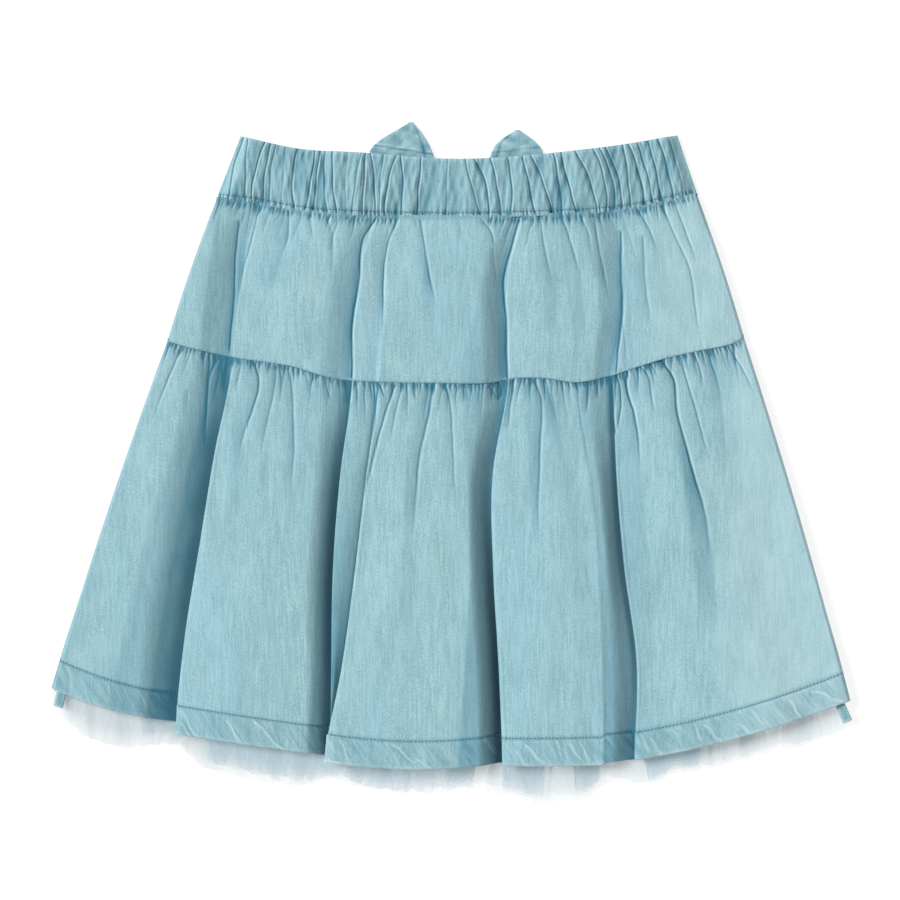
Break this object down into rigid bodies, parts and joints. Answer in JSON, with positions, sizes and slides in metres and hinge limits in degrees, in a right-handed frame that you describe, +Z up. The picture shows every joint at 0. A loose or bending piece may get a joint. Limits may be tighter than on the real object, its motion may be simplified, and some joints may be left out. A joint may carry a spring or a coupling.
{
  "type": "girl's tiered chambray skirt",
  "caption": "Girl's tiered skirt of washed chambray with a gathered elastic waist and a tulle petticoat showing below the hem, laid flat with its back up.",
  "frame": {"origin": "on the surface that the skirt lies on, under the centre of its outline", "axes": "+X to the right across the width as seen from above, +Y up the skirt towards the waistband, +Z up from the surface, with the back of the skirt on top"},
  "size_m": [0.4854, 0.41, 0.0192],
  "materials": {
    "chambray": "washed light blue chambray, matt, with a slubby vertical grain",
    "tulle_white": "soft white tulle, see-through",
    "tulle_blue": "soft pale blue tulle, see-through"
  },
  "bodies": {
    "root": {"waistband_back": "chambray", "waistband_front": "chambray", "upper_tier_back": "chambray", "upper_tier_front": "chambray", "lower_tier_back": "chambray", "lower_tier_front": "chambray", "side_seam_end_left": "chambray", "side_seam_end_right": "chambray", "bow_loop_left": "chambray", "bow_loop_right": "chambray", "bow_knot": "chambray", "petticoat_back_white": "tulle_white", "petticoat_front_white": "tulle_white", "petticoat_back_blue": "tulle_blue", "petticoat_front_blue": "tulle_blue"}
  },
  "joints": []
}
